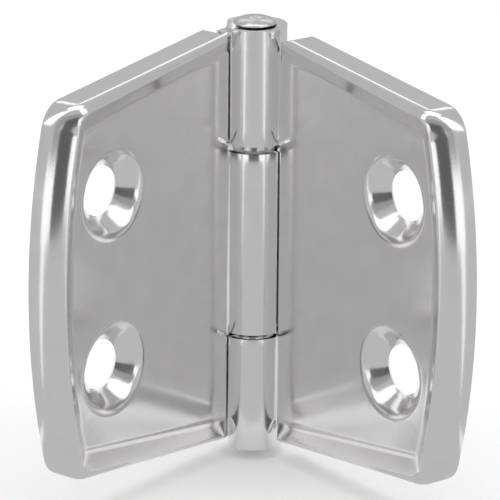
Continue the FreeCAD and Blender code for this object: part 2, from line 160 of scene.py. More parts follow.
class SteelFinish(bpy.types.PropertyGroup):
    """The finishes of the stainless steel."""

    sheet_colour: hex_colour("Sheet colour", "#EAE9E9", "Reflected colour of the tumbled sheet")
    sheet_shade: hex_colour("Sheet shade", "#E1E0E0", "Colour of the sheet where it is duller")
    pin_colour: hex_colour("Pin colour", "#CFCECD", "Reflected colour of the pin")
    sheet_roughness: part_of_one("Sheet roughness", 0.15, "Roughness of the tumbled sheet")
    pin_roughness: part_of_one("Pin roughness", 0.22, "Roughness of the peened pin")
    grain: mm_size("Grain", 0.16, "Width of the tumbling marks")
    grain_height: mm_size("Grain height", 0.0022, "Height of the tumbling marks")
    wave: mm_size("Wave", 9.0, "Width of the slight waves that the press leaves in the sheet")
    wave_height: mm_size("Wave height", 0.03, "Height of those waves")
    dull_spot: mm_size("Dull spot", 2.25, "Width of the duller spots in the sheet")
    dent: mm_size("Dent", 0.625, "Width of the hammer's dents in the pin's heads")
    dent_height: mm_size("Dent height", 0.05, "Depth of those dents")
    pin_grain_height: mm_size("Pin grain height", 0.004, "Height of the drawing marks on the pin")


class StudioSettings(bpy.types.PropertyGroup):
    """Camera, floor and lights."""

    distance: mm_size("Camera distance", 396.15, "From the camera to the middle of the pin")
    elevation: turn_angle("Elevation", 17.77, "How far the camera looks down")
    roll: turn_angle("Roll", 0.49, "Turn of the camera about its own line of sight")
    focal_pixels: image_place("Focal length", 4323.0, "Focal length in pixels of the picture")
    origin_x: image_place("Pin x", 253.17, "Where the pin's middle lies in the picture, from the left")
    origin_y: image_place("Pin y", 234.8, "Where the pin's middle lies in the picture, from the top")
    floor_colour: hex_colour("Floor colour", "#FAFAFA", "Floor paper")
    floor_lift: part_of_one("Floor lift", 0.13, "Whitening of the floor in the picture and in reflections")
    world_colour: hex_colour("Surroundings", "#C5C5C5", "Pale tent round the hinge")
    black_colour: hex_colour("Black card", "#626262", "Narrow front card, as bright as the lamps make it")
    grey_colour: hex_colour("Grey card", "#A6A6A6", "Wide front card")
    mat_colour: hex_colour("Grey mats", "#CBCBCB", "Mats on the floor outside the picture")
    board_power: plain_number("White boards", 1.3, "Radiance of the boards")
    box_power: plain_number("Softbox power", 1.35, "Radiance of the softbox above")
    side_share: part_of_one("Side softboxes", 0.7, "Radiance of the side softboxes, of the one above")
    back_share: part_of_one("Back softbox", 0.65, "Radiance of the softbox behind, of the one above")


def in_millimetres(group):
    """A group's values as plain numbers, with every length in millimetres."""
    sizes = SimpleNamespace()
    for name, entry in group.bl_rna.properties.items():
        if entry.type != "FLOAT":
            continue
        value = getattr(group, name)
        if entry.is_array:
            value = list(value)
        elif entry.subtype == "DISTANCE":
            value = value / MM
        setattr(sizes, name, value)
    return sizes


def smooth(share):
    """0 to 1 with soft ends."""
    share = min(1.0, max(0.0, share))
    return share * share * (3 - 2 * share)


def mix(first, second, share):
    return first + (second - first) * share


# The front face of a leaf is drawn in the leaf's own axes, in millimetres: out from the pin,
# back through the sheet, and up. Points that agree to so many digits are one.
WELD_DIGITS = 4


class FrontFace:
    """Points and faces of a sheet's front face."""

    def __init__(self):
        self.points = []
        self.faces = []
        self.known = {}

    def point(self, place):
        key = tuple(round(value, WELD_DIGITS) for value in place)
        if key not in self.known:
            self.known[key] = len(self.points)
            self.points.append(Vector(place))
        return self.known[key]

    def face(self, corners):
        """A face of the numbered points, unless they fall together."""
        ring = list(dict.fromkeys(corners))
        if len(ring) > 2:
            self.faces.append(ring)

    def strips(self, rows):
        """Joins rows of equally many points with four-sided faces."""
        rows = [[self.point(place) for place in row] for row in rows]
        for first, second in zip(rows, rows[1:]):
            for number in range(len(first) - 1):
                self.face((first[number], first[number + 1], second[number + 1], second[number]))


# Rows of points across the rim, from the flange's free edge inwards.
WALL_ROWS = 3
BEND_ROWS = 11
CREST_ROWS = 5
FOOT_ROWS = 7

# Steps along it: each straight edge, each corner, the tip, and the ramp beside the pin. Two more
# points lie just beyond the ramp, at these shares of its length.
EDGE_STEPS = 10
CORNER_STEPS = 14
TIP_STEPS = 56
RAMP_STEPS = 8
RIM_LEVELS = (1.25, 1.6)

# Part of the bend that its rows cover, and steps in the search for where it meets the slope.
BEND_SHARE = 0.93
HALVINGS = 30

# In millimetres: rounding of the crest, half width of the round crease, and slack between places.
CREST_SOFTNESS = 0.07
FOOT_REACH = 0.42
PLACE_SLACK = 0.01


def soft_larger(first, second, softness):
    """The larger of two values, rounded where they are nearly alike."""
    return (first + second + math.hypot(first - second, softness)) / 2


def eased(distance):
    """The distance where it is positive and 0 where it is negative, with a round start."""
    if abs(distance) < FOOT_REACH:
        return (distance + FOOT_REACH) ** 2 / (4 * FOOT_REACH)
    return max(distance, 0)


def edge_slope(sheet):
    """How fast the leaf's half height falls off outwards."""
    return (sheet.half_root - sheet.half_tip) / (tip_centre(sheet) + math.sqrt(
        sheet.tip_arc ** 2 - sheet.half_tip ** 2))


def tip_centre(sheet):
    """The middle of the tip's arc, out from the pin."""
    return sheet.reach - sheet.tip_arc


def half_height(sheet, out):
    return sheet.half_root - edge_slope(sheet) * out


def panel_half(sheet, out):
    """Half of the sunk panel's height. Its edges fall off faster than the leaf's."""
    arc = sheet.tip_arc - sheet.margin
    end = tip_centre(sheet) + math.sqrt(arc ** 2 - sheet.panel_tip ** 2)
    slope = (sheet.panel_root - sheet.panel_tip) / (end + sheet.panel_from)
    return sheet.panel_root - slope * (out + sheet.panel_from)


def rounded_route(sheet, half, arc, radius, outs):
    """One route round the leaf: the straight upper edge from the places outs on, the corner,
    the bowed tip, and the same below."""
    slope = half(sheet, 0) - half(sheet, 1)
    centre = tip_centre(sheet)
    lift = half(sheet, 0) - radius * math.hypot(1, slope)
    swing = arc - radius
    half_sum = (centre + slope * lift) / (1 + slope ** 2)
    product = (centre ** 2 + lift ** 2 - swing ** 2) / (1 + slope ** 2)
    corner_out = half_sum + math.sqrt(half_sum ** 2 - product)
    corner_up = lift - slope * corner_out
    first = math.atan2(1, slope)
    last = math.atan2(corner_up, corner_out - centre)
    edge_end = corner_out + radius * math.cos(first)
    outs = outs + [mix(outs[-1], edge_end, step / EDGE_STEPS) for step in range(1, EDGE_STEPS)]
    upper = [(out, half(sheet, out)) for out in outs]
    for step in range(CORNER_STEPS + 1):
        angle = mix(first, last, step / CORNER_STEPS)
        upper.append((corner_out + radius * math.cos(angle), corner_up + radius * math.sin(angle)))
    tip = []
    for step in range(1, TIP_STEPS):
        angle = mix(last, -last, step / TIP_STEPS)
        tip.append((centre + arc * math.cos(angle), arc * math.sin(angle)))
    return upper + tip + [(out, -up) for out, up in reversed(upper)]


def tip_share(number, total):
    """0 along the upper and lower edge, 1 along the tip, and between them in the corners."""
    edge = min(number, total - 1 - number)
    return smooth((edge - (total - TIP_STEPS - 1) / 2 + CORNER_STEPS) / CORNER_STEPS)


def bend_depth(sheet, inset, radius):
    """The front of the bend between the flange and the rim, behind the pin's axis."""
    reach = radius - min(max(inset, 0), radius)
    return sheet.panel - sheet.rim + radius - math.sqrt(radius ** 2 - reach ** 2)


def slope_depth(sheet, out, up):
    """The slope that rises from the sunk panel's round crease to the rim."""
    above = abs(up) - panel_half(sheet, out)
    beyond = math.hypot(out - tip_centre(sheet), up) - (sheet.tip_arc - sheet.margin)
    outside = eased(soft_larger(above, beyond, CREST_SOFTNESS * 2))
    return sheet.panel - sheet.rim / sheet.rim_slope * outside


def meeting_inset(sheet, margin, radius):
    """How far inside the outline the bend meets the slope."""
    low, high = 0.0, min(radius, margin)
    for _ in range(HALVINGS):
        middle = (low + high) / 2
        slope = sheet.panel - sheet.rim / sheet.rim_slope * (margin - middle)
        if bend_depth(sheet, middle, radius) > slope:
            low = middle
        else:
            high = middle
    return low


def row_insets(sheet, margin, radius):
    """Where the rows of the rim lie, from the outline to just inside the crease."""
    meeting = meeting_inset(sheet, margin, radius)
    turn = math.acos(1 - meeting / radius)
    insets = [radius * (1 - math.cos(turn * BEND_SHARE * step / BEND_ROWS)) for step in range(BEND_ROWS + 1)]
    room = min(meeting - insets[-1], (margin - meeting) / 3) + CREST_SOFTNESS
    insets += [meeting + room * (step / CREST_ROWS) for step in range(CREST_ROWS + 1)]
    insets.append(mix(insets[-1], margin - FOOT_REACH, 0.5))
    insets += [margin + FOOT_REACH * (2 * step / FOOT_ROWS - 1) for step in range(FOOT_ROWS + 1)]
    return insets


def round_root_corners(sheet, edge, outs, start, radius):
    """Turns the outline's ends, beside the other leaf's knuckle, into arcs."""
    for number, out in enumerate(outs):
        if out < start + radius:
            turn = math.acos(1 - (out - start) / radius)
            height = half_height(sheet, start + radius) - radius * (1 - math.sin(turn))
            edge[number] = (out, height)
            edge[-1 - number] = (out, -height)


def rim_column(sheet, edge_spot, foot_spot, share, start, at_pin):
    """Points from the flange's free edge over the bend, the rim and the slope to the crease.
    share is 0 along the straight edges and 1 along the tip."""
    radius = mix(sheet.edge_bend, sheet.tip_bend, share)
    stretch = math.hypot(1, edge_slope(sheet))
    side_margin = (half_height(sheet, foot_spot[0]) - abs(foot_spot[1])) / stretch
    margin = mix(side_margin, sheet.margin, share)
    column = []
    for inset in row_insets(sheet, margin, radius):
        out = mix(edge_spot[0], foot_spot[0], inset / margin)
        up = mix(edge_spot[1], foot_spot[1], inset / margin)
        if share == 0:
            inset = (half_height(sheet, out) - abs(up)) / stretch
        back = soft_larger(bend_depth(sheet, inset, radius), slope_depth(sheet, out, up), CREST_SOFTNESS)
        ramp = sheet.panel - sheet.rim * (out - start) / sheet.rim_lead
        back = soft_larger(back, ramp, CREST_SOFTNESS)
        column.append((out, sheet.panel if at_pin else back, up))
    out, back, up = column[-1]
    column[-1] = (out, sheet.panel, up)
    wall = []
    for step in range(WALL_ROWS):
        wall.append((edge_spot[0], mix(sheet.flange, column[0][1], step / WALL_ROWS), edge_spot[1]))
    return wall + column


def draw_rims(face, sheet, start, root_radius):
    """The folded rim on three sides, from the place start on. Returns its innermost row and, from
    the crease outwards, the points at the pin's side."""
    outs = [start + sheet.rim_lead * step / RAMP_STEPS for step in range(RAMP_STEPS + 1)]
    outs += [start + sheet.rim_lead * level for level in RIM_LEVELS]
    edge = rounded_route(sheet, half_height, sheet.tip_arc, sheet.corner, outs)
    foot = rounded_route(sheet, panel_half, sheet.tip_arc - sheet.margin, sheet.panel_corner, outs)
    round_root_corners(sheet, edge, outs, start, root_radius)
    total = len(edge)
    columns = []
    for number, (edge_spot, foot_spot) in enumerate(zip(edge, foot)):
        at_pin = number in (0, total - 1)
        columns.append(rim_column(sheet, edge_spot, foot_spot, tip_share(number, total), start, at_pin))
    flanged = [number for number in range(total) if edge[number][0] > sheet.flange_start - PLACE_SLACK]
    rows = list(zip(*columns))
    face.strips([row[flanged[0]:flanged[-1] + 1] for row in rows[:WALL_ROWS + 1]])
    face.strips(rows[WALL_ROWS:])
    return list(rows[-1]), [row[0] for row in reversed(rows[WALL_ROWS:])]


SEAT_SIDES = 72
LIP_STEPS = 8
CONE_STEPS = 3
SEAT_CONE = math.radians(45)


def draw_seat(face, sheet, out, up, hole_radius):
    """A dimpled countersunk seat. Returns its outer circle, which the panel meets."""
    lip = sheet.seat_lip * math.tan(SEAT_CONE / 2)
    top = hole_radius + sheet.seat_depth
    section = []
    for step in range(LIP_STEPS + 1):
        angle = SEAT_CONE * step / LIP_STEPS
        section.append((top + lip - sheet.seat_lip * math.sin(angle),
                        sheet.panel + sheet.seat_lip * (1 - math.cos(angle))))
    lip_end = section[-1]
    for step in range(1, CONE_STEPS + 1):
        share = step / CONE_STEPS
        section.append((mix(lip_end[0], hole_radius, share),
                        mix(lip_end[1], sheet.panel + sheet.seat_depth, share)))
    rows = []
    for radius, back in section:
        row = []
        for side in range(SEAT_SIDES + 1):
            angle = math.tau * side / SEAT_SIDES
            row.append((out + radius * math.cos(angle), back, up + radius * math.sin(angle)))
        rows.append(row)
    face.strips(rows)
    return rows[0][:-1]


PANEL_GRID = 2.2
GRID_CLEARANCE = PANEL_GRID / 3
WELD_REACH = 1e-6
INSIDE_TRIANGLES = 1


def circle_of(ring):
    """The middle and radius of a seat's circle of points."""
    middle = (sum(out for out, back, up in ring) / len(ring), sum(up for out, back, up in ring) / len(ring))
    return middle, math.dist(middle, (ring[0][0], ring[0][2]))


def draw_panel(face, sheet, rim, holes):
    """The flat panel inside the closed line rim, round the circles of the seats."""
    spots = []
    edges = []
    for ring in [rim] + holes:
        first = len(spots)
        spots.extend((out, up) for out, back, up in ring)
        count = len(ring)
        edges.extend((first + number, first + (number + 1) % count) for number in range(count))
    circles = [circle_of(hole) for hole in holes]

    def off_seats(spot):
        return all(math.dist(spot, middle) > radius for middle, radius in circles)

    low_out, high_out = min(out for out, up in spots), max(out for out, up in spots)
    low_up, high_up = min(up for out, up in spots), max(up for out, up in spots)
    fixed = list(spots)
    for column in range(1, int((high_out - low_out) / PANEL_GRID)):
        for row in range(1, int((high_up - low_up) / PANEL_GRID)):
            spot = (low_out + column * PANEL_GRID, low_up + row * PANEL_GRID)
            if off_seats(spot) and min(math.dist(spot, other) for other in fixed) > GRID_CLEARANCE:
                spots.append(spot)
    flat = [Vector(spot) for spot in spots]
    _, _, triangles, origins, *_ = delaunay_2d_cdt(flat, edges, [], INSIDE_TRIANGLES, WELD_REACH)
    # The corners are taken from the given spots, because the triangulation rounds its own.
    corners = [spots[origin[0]] for origin in origins]
    numbers = [face.point((out, sheet.panel, up)) for out, up in corners]
    for triangle in triangles:
        middle = (sum(corners[corner][0] for corner in triangle) / 3,
                  sum(corners[corner][1] for corner in triangle) / 3)
        if off_seats(middle):
            face.face([numbers[corner] for corner in triangle])


CRANK_STEPS = 9
CRANK_ROWS = 2 * CRANK_STEPS
WEB_ROWS = 12
ROLL_STEPS = 60
PANEL_LINES = 6

# In millimetres from the pin's axis: where the web's low edge steps up to the knuckle's end.
WEB_STEP_FROM = 0.5
WEB_STEP_TO = 0.15


def roll_section(sheet):
    """The sheet's front face from the panel, back beside the pin and round it."""
    bore = sheet.knuckle_radius - sheet.thickness
    outer = sheet.crank_bend + sheet.thickness / 2
    inner = sheet.crank_bend - sheet.thickness / 2
    turn = math.acos(1 - (bore - sheet.panel) / (2 * sheet.crank_bend))
    end = sheet.crank_reach - 2 * sheet.crank_bend * math.sin(turn)
    line = []
    for step in range(CRANK_STEPS + 1):
        angle = turn * step / CRANK_STEPS
        line.append((sheet.crank_reach - outer * math.sin(angle),
                     sheet.panel + outer * (1 - math.cos(angle))))
    for step in range(1, CRANK_STEPS + 1):
        angle = turn * (1 - step / CRANK_STEPS)
        line.append((end + inner * math.sin(angle), bore - inner + inner * math.cos(angle)))
    line += [(mix(end, 0, step / (WEB_ROWS + 1)), bore) for step in range(1, WEB_ROWS + 1)]
    sweep = math.radians(270) - sheet.roll_gap
    for step in range(ROLL_STEPS + 1):
        angle = math.pi / 2 + sweep * step / ROLL_STEPS
        line.append((bore * math.cos(angle), bore * math.sin(angle)))
    return line


def between(first, last, count):
    return [mix(first, last, step / count) for step in range(count + 1)]


def slit_sides(sheet, corner):
    """The two long sides of a relief slit that runs outwards and up from a corner."""
    along = Vector((math.cos(sheet.slit_angle), math.sin(sheet.slit_angle)))
    across = Vector((-along.y, along.x))
    start = Vector((sheet.notch - sheet.slit_width / 2, corner - sheet.slit_width / 2))
    lower = (start, start + along * sheet.slit_length)
    return lower, tuple(spot + across * sheet.slit_width for spot in lower)


def height_on(side, out):
    """The height of a slit's long side at a place."""
    first, last = side
    return mix(first.y, last.y, (out - first.x) / (last.x - first.x))


def slit_line(sheet, corner, from_out, to_out):
    """The outline of a slit from its upper side, round its end, to its lower side."""
    lower, upper = slit_sides(sheet, corner)
    spots = [(from_out, height_on(upper, from_out)), tuple(upper[1]), tuple(lower[1]),
             (to_out, height_on(lower, to_out))]
    return [(out, sheet.panel, up) for out, up in spots]


def roll_up(face, sheet, shares, near, far):
    """Rolls the sheet from beside the panel to a knuckle. near and far give its two ends."""
    rows = []
    for number, (out, back) in enumerate(roll_section(sheet)):
        first, last = near(out, number), far(out, number)
        rows.append([(out, back, mix(first, last, share)) for share in shares])
    face.strips(rows)


def roll_outer(face, sheet, rise, sign, pin_side):
    """Rolls the sheet to one outer knuckle, above for sign 1 and below for -1. Returns the points
    where the roll leaves the panel."""
    attach = sheet.crank_reach
    web = sheet.half_root - sheet.web_dip
    near_end = sign * sheet.outer_start - rise
    far_end = sign * sheet.knuckle_half_length - rise
    slit = slit_sides(sheet, sheet.outer_start - rise)[1]
    crank_end = roll_section(sheet)[CRANK_ROWS][0]

    def near(out, number):
        """The knuckle's near end. Above, the slit cuts the crank."""
        if sign > 0 and number <= CRANK_ROWS and out > slit[0].x:
            return height_on(slit, out)
        return near_end

    def far(out, number):
        """The leaf's end on the crank, then the lower web, and a step to the knuckle's end."""
        if number <= CRANK_ROWS:
            rising = mix(web, half_height(sheet, sheet.notch), (out - crank_end) / (sheet.notch - crank_end))
            return sign * min(rising, half_height(sheet, out))
        if number > CRANK_ROWS + WEB_ROWS:
            return far_end
        step = smooth((WEB_STEP_FROM - out) / (WEB_STEP_FROM - WEB_STEP_TO))
        return sign * mix(web, sign * far_end, step)

    first = height_on(slit, attach) if sign > 0 else -near_end
    heights = between(first, pin_side[0][2], PANEL_LINES)[:-1] + [point[2] for point in pin_side]
    shares = [(height - heights[0]) / (heights[-1] - heights[0]) for height in heights]
    roll_up(face, sheet, shares, near, far)
    return [(attach, sheet.panel, sign * height) for height in heights]


def draw_left(face, sheet, rise, holes):
    """The leaf with the two outer knuckles. The other leaf's knuckle turns in the notch between
    them, which has a relief slit at its upper and lower corner."""
    foot, pin_side = draw_rims(face, sheet, sheet.crank_reach, 0)
    upper_points = roll_outer(face, sheet, rise, 1, pin_side)
    lower_points = roll_outer(face, sheet, rise, -1, pin_side)
    upper_corner = sheet.outer_start - rise
    lower_corner = -sheet.outer_start - rise
    slit = slit_sides(sheet, lower_corner)[0]
    crossing = slit[0].x + (lower_corner - slit[0].y) / math.tan(sheet.slit_angle)
    ring = list(foot)
    ring += list(reversed(lower_points[:PANEL_LINES]))
    ring += [(crossing, sheet.panel, lower_corner)]
    ring += list(reversed(slit_line(sheet, lower_corner, sheet.notch, crossing)))[1:]
    top = slit_line(sheet, upper_corner, sheet.crank_reach, sheet.notch)
    heights = between(ring[-1][2], top[-1][2], 2 * PANEL_LINES)[1:-1]
    ring += [(sheet.notch, sheet.panel, height) for height in heights]
    ring += list(reversed(top))[:-1]
    ring += upper_points[:PANEL_LINES]
    draw_panel(face, sheet, ring, holes)


def draw_right(face, sheet, rise, holes):
    """The leaf with the middle knuckle, with a relief slit above it."""
    foot, pin_side = draw_rims(face, sheet, sheet.notch, sheet.root_corner)
    low = -sheet.middle_low - rise
    high = sheet.middle_high - rise
    shares = between(0, 1, 2 * PANEL_LINES)
    roll_up(face, sheet, shares, lambda out, number: low, lambda out, number: high)
    slit = list(reversed(slit_line(sheet, sheet.outer_start - rise, sheet.notch, sheet.notch)))
    below = between(foot[-1][2], low, PANEL_LINES)[1:]
    above = between(slit[-1][2], foot[0][2], PANEL_LINES)[1:-1]
    ring = list(foot)
    ring += [(sheet.notch, sheet.panel, height) for height in below]
    ring += [(sheet.crank_reach, sheet.panel, mix(low, high, share)) for share in shares]
    ring += [(sheet.notch, sheet.panel, high)]
    ring += slit
    ring += [(sheet.notch, sheet.panel, height) for height in above]
    draw_panel(face, sheet, ring, holes)


def leaf_axes(side):
    """The leaf's directions out from the pin and back through the sheet, from its screw mount."""
    front = Vector(MOUNTS[side + "_screws"]["axis"])
    back = -front
    out = Vector((back.y, -back.x, 0)) if side == "right" else Vector((-back.y, back.x, 0))
    return out, back


EDGE_SEGMENTS = 3
EDGE_LIMIT = math.radians(40)


def link_mesh(name, mesh):
    made = bpy.data.objects.new(name, mesh)
    bpy.context.scene.collection.objects.link(made)
    return made


def turn_to_front(mesh, back_axis):
    """Turns all faces the way of the panel's front, and shades them smooth."""
    shape = bmesh.new()
    shape.from_mesh(mesh)
    bmesh.ops.recalc_face_normals(shape, faces=shape.faces)
    shape.normal_update()
    panel_face = max(shape.faces, key=lambda found: abs(found.normal.dot(back_axis)) * found.calc_area())
    if panel_face.normal.dot(back_axis) > 0:
        bmesh.ops.reverse_faces(shape, faces=shape.faces)
    for found in shape.faces:
        found.smooth = True
    shape.to_mesh(mesh)
    shape.free()


def leaf_object(side, sheet, draw):
    """One pressed leaf: its front face, thickened backwards, with rounded cut edges. The seats lie
    where the screw mount has them."""
    screws = MOUNTS[side + "_screws"]
    out_axis, back_axis = leaf_axes(side)
    centre = Vector(screws["pos_m"])
    rise = centre.z / MM
    hole_out = centre.dot(out_axis) / MM
    half_spacing = screws["dims"]["pcd_mm"] / 2
    face = FrontFace()
    holes = []
    for up in (half_spacing, -half_spacing):
        holes.append(draw_seat(face, sheet, hole_out, up, screws["dims"]["hole_r_mm"]))
    draw(face, sheet, rise, holes)
    mesh = bpy.data.meshes.new("sheet_" + side)
    points = []
    for out, back, up in face.points:
        place = out_axis * out + back_axis * back + Vector((0, 0, up + rise))
        points.append(place * MM)
    mesh.from_pydata(points, [], face.faces)
    turn_to_front(mesh, back_axis)
    piece = link_mesh("sheet_" + side, mesh)
    thick = piece.modifiers.new("Thickness", "SOLIDIFY")
    thick.thickness = sheet.thickness * MM
    thick.offset = -1
    thick.use_even_offset = True
    thick.use_quality_normals = True
    edge = piece.modifiers.new("Cut edges", "BEVEL")
    edge.width = sheet.cut_edge * MM
    edge.segments = EDGE_SEGMENTS
    edge.limit_method = "ANGLE"
    edge.angle_limit = EDGE_LIMIT
    even = piece.modifiers.new("Even shading", "WEIGHTED_NORMAL")
    even.keep_sharp = False
    return piece


def turned_object(name, section, sides):
    """A solid of revolution round the pin's axis from pairs of radius and height in millimetres."""
    shape = bmesh.new()
    rings = []
    for radius, height in section:
        count = sides if radius > 0 else 1
        ring = []
        for side in range(count):
            angle = math.tau * side / sides
            place = Vector((radius * math.cos(angle), radius * math.sin(angle), height))
            ring.append(shape.verts.new(place * MM))
        rings.append(ring)
    for lower, upper in zip(rings, rings[1:]):
        for side in range(sides):
            corners = [lower[side % len(lower)], lower[(side + 1) % len(lower)],
                       upper[(side + 1) % len(upper)], upper[side % len(upper)]]
            shape.faces.new(list(dict.fromkeys(corners))).smooth = True
    bmesh.ops.recalc_face_normals(shape, faces=shape.faces)
    mesh = bpy.data.meshes.new(name)
    shape.to_mesh(mesh)
    shape.free()
    return link_mesh(name, mesh)


PIN_SIDES = 96
DOME_STEPS = 26
HEAD_EDGE_STEPS = 6
HEAD_EDGE_TURN = math.radians(60)


def pin_section(pin, knuckle_end):
    """Half of the pin's outline: shaft, neck, the head's edge and its peened dome."""
    top = PIN_BOX[1].z / MM
    head_radius = PIN_BOX[1].x / MM
    edge = knuckle_end + pin.edge_height
    mouth = knuckle_end - pin.neck_depth
    low = [(pin.shaft_radius, 0), (pin.shaft_radius, mouth - pin.neck_cone), (pin.neck_radius, mouth),
           (pin.neck_radius - pin.edge_radius / 4, edge - pin.edge_radius * 2)]
    rim = []
    for step in range(HEAD_EDGE_STEPS + 1):
        angle = mix(-HEAD_EDGE_TURN, HEAD_EDGE_TURN, step / HEAD_EDGE_STEPS)
        rim.append((head_radius - pin.edge_radius + pin.edge_radius * math.cos(angle),
                    edge + pin.edge_radius * math.sin(angle)))
    reach, start = rim[-1]
    dome = []
    for step in range(1, DOME_STEPS + 1):
        radius = reach * (1 - step / DOME_STEPS)
        height = start + (top - start) * (1 - (radius / reach) ** pin.dome_power)
        groove = math.exp(-((radius - pin.boss_radius) / pin.groove_width) ** 2)
        dome.append((radius, height - pin.boss_height * groove))
    return low + rim + dome


def add_node(tree, kind, inputs=None, **settings):
    """Adds a node, makes its settings and fills its inputs with values or links."""
    made = tree.nodes.new(kind)
    for name, value in settings.items():
        setattr(made, name, value)
    for name, value in (inputs or {}).items():
        if isinstance(value, bpy.types.NodeSocket):
            tree.links.new(value, made.inputs[name])
        else:
            made.inputs[name].default_value = value
    return made


def new_material(name):
    material = bpy.data.materials.new(name)
    material.use_nodes = True
    material.node_tree.nodes.clear()
    return material, material.node_tree


# Nearly all values of the grain's noise lie between these.
NOISE_LOW = 0.3
NOISE_HIGH = 0.7


def satin_stainless(name, finish):
    """Tumbled stainless sheet: mirror-like under a fine even grain, so that reflections keep
    their edges but lose their sparkle. The press leaves slight waves."""
    material, tree = new_material(name)
    spot = add_node(tree, "ShaderNodeTexCoord").outputs["Object"]
    spot = add_node(tree, "ShaderNodeVectorMath", {0: spot, "Scale": 1 / MM}, operation="SCALE").outputs[0]
    grain = add_node(tree, "ShaderNodeTexNoise", {"Vector": spot, "Scale": 1 / finish.grain, "Detail": 3.0,
                                                  "Roughness": 0.6}).outputs["Fac"]
    wave = add_node(tree, "ShaderNodeTexNoise", {"Vector": spot, "Scale": 1 / finish.wave, "Detail": 1.0})
    dull = add_node(tree, "ShaderNodeTexNoise", {"Vector": spot, "Scale": 1 / finish.dull_spot, "Detail": 4.0})
    tint = add_node(tree, "ShaderNodeMix", {"Factor": dull.outputs["Fac"], "A": finish.sheet_colour,
                                            "B": finish.sheet_shade}, data_type="RGBA")
    rough = add_node(tree, "ShaderNodeMapRange", {"Value": grain, "From Min": NOISE_LOW,
                                                  "From Max": NOISE_HIGH,
                                                  "To Min": finish.sheet_roughness * 0.8,
                                                  "To Max": finish.sheet_roughness * 1.25})
    swell = add_node(tree, "ShaderNodeBump", {"Strength": 1.0, "Distance": finish.wave_height * MM,
                                              "Height": wave.outputs["Fac"]})
    marks = add_node(tree, "ShaderNodeBump", {"Strength": 1.0, "Distance": finish.grain_height * MM,
                                              "Height": grain, "Normal": swell.outputs["Normal"]})
    shader = add_node(tree, "ShaderNodeBsdfPrincipled", {"Base Color": tint.outputs["Result"],
                                                         "Metallic": 1.0,
                                                         "Roughness": rough.outputs["Result"],
                                                         "Normal": marks.outputs["Normal"]})
    add_node(tree, "ShaderNodeOutputMaterial", {"Surface": shader.outputs["BSDF"]})
    return material


def peened_stainless(name, finish):
    """Drawn stainless rod whose ends were hammered: duller, with small dents on the dome."""
    material, tree = new_material(name)
    spot = add_node(tree, "ShaderNodeTexCoord").outputs["Object"]
    spot = add_node(tree, "ShaderNodeVectorMath", {0: spot, "Scale": 1 / MM}, operation="SCALE").outputs[0]
    dents = add_node(tree, "ShaderNodeTexNoise", {"Vector": spot, "Scale": 1 / finish.dent,
                                                  "Detail": 2.0}).outputs["Fac"]
    grain = add_node(tree, "ShaderNodeTexNoise", {"Vector": spot, "Scale": 1 / finish.grain,
                                                  "Detail": 3.0}).outputs["Fac"]
    tint = add_node(tree, "ShaderNodeMix", {"Factor": dents, "A": finish.pin_colour,
                                            "B": finish.sheet_shade}, data_type="RGBA")
    rough = add_node(tree, "ShaderNodeMapRange", {"Value": grain, "From Min": NOISE_LOW,
                                                  "From Max": NOISE_HIGH,
                                                  "To Min": finish.pin_roughness * 0.8,
                                                  "To Max": finish.pin_roughness * 1.3})
    swell = add_node(tree, "ShaderNodeBump", {"Strength": 1.0, "Distance": finish.dent_height * MM,
                                              "Height": dents})
    marks = add_node(tree, "ShaderNodeBump", {"Strength": 1.0, "Distance": finish.pin_grain_height * MM,
                                              "Height": grain, "Normal": swell.outputs["Normal"]})
    shader = add_node(tree, "ShaderNodeBsdfPrincipled", {"Base Color": tint.outputs["Result"],
                                                         "Metallic": 1.0,
                                                         "Roughness": rough.outputs["Result"],
                                                         "Normal": marks.outputs["Normal"]})
    add_node(tree, "ShaderNodeOutputMaterial", {"Surface": shader.outputs["BSDF"]})
    return material


def white_paper(name, studio):
    """Floor paper: matt white, lifted to full white in the picture and in reflections."""
    material, tree = new_material(name)
    rays = add_node(tree, "ShaderNodeLightPath").outputs
    seen = rays["Is Camera Ray"]
    for kind in ("Is Glossy Ray", "Is Transmission Ray"):
        seen = add_node(tree, "ShaderNodeMath", {0: seen, 1: rays[kind]}, operation="MAXIMUM").outputs[0]
    lift = add_node(tree, "ShaderNodeMath", {0: seen, 1: studio.floor_lift}, operation="MULTIPLY")
    shader = add_node(tree, "ShaderNodeBsdfPrincipled", {"Base Color": studio.floor_colour, "Roughness": 1.0,
                                                         "Specular IOR Level": 0.0,
                                                         "Emission Color": linear("#FFFFFF"),
                                                         "Emission Strength": lift.outputs[0]})
    add_node(tree, "ShaderNodeOutputMaterial", {"Surface": shader.outputs["BSDF"]})
    return material


def lit_card(name, colour, power):
    """Studio card at a set brightness, so that the steel mirrors it evenly."""
    material, tree = new_material(name)
    shader = add_node(tree, "ShaderNodeEmission", {"Color": colour, "Strength": power})
    add_node(tree, "ShaderNodeOutputMaterial", {"Surface": shader.outputs["Emission"]})
    return material


class HINGE_OT_left_leaf(bpy.types.Operator):
    """Builds the leaf with the two outer knuckles"""

    bl_idname = "hinge.left_leaf"
    bl_label = "Left leaf"

    def execute(self, context):
        scene = context.scene
        piece = leaf_object("left", in_millimetres(scene.hinge_sheet), draw_left)
        finish = in_millimetres(scene.hinge_finish)
        piece.data.materials.append(satin_stainless("tumbled_stainless_left", finish))
        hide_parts("left_leaf")
        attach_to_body(piece, "left_side")
        return {"FINISHED"}


class HINGE_OT_right_leaf(bpy.types.Operator):
    """Builds the leaf with the middle knuckle"""

    bl_idname = "hinge.right_leaf"
    bl_label = "Right leaf"

    def execute(self, context):
        scene = context.scene
        piece = leaf_object("right", in_millimetres(scene.hinge_sheet), draw_right)
        finish = in_millimetres(scene.hinge_finish)
        piece.data.materials.append(satin_stainless("tumbled_stainless_right", finish))
        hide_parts("right_leaf")
        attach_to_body(piece, "right_side")
        return {"FINISHED"}


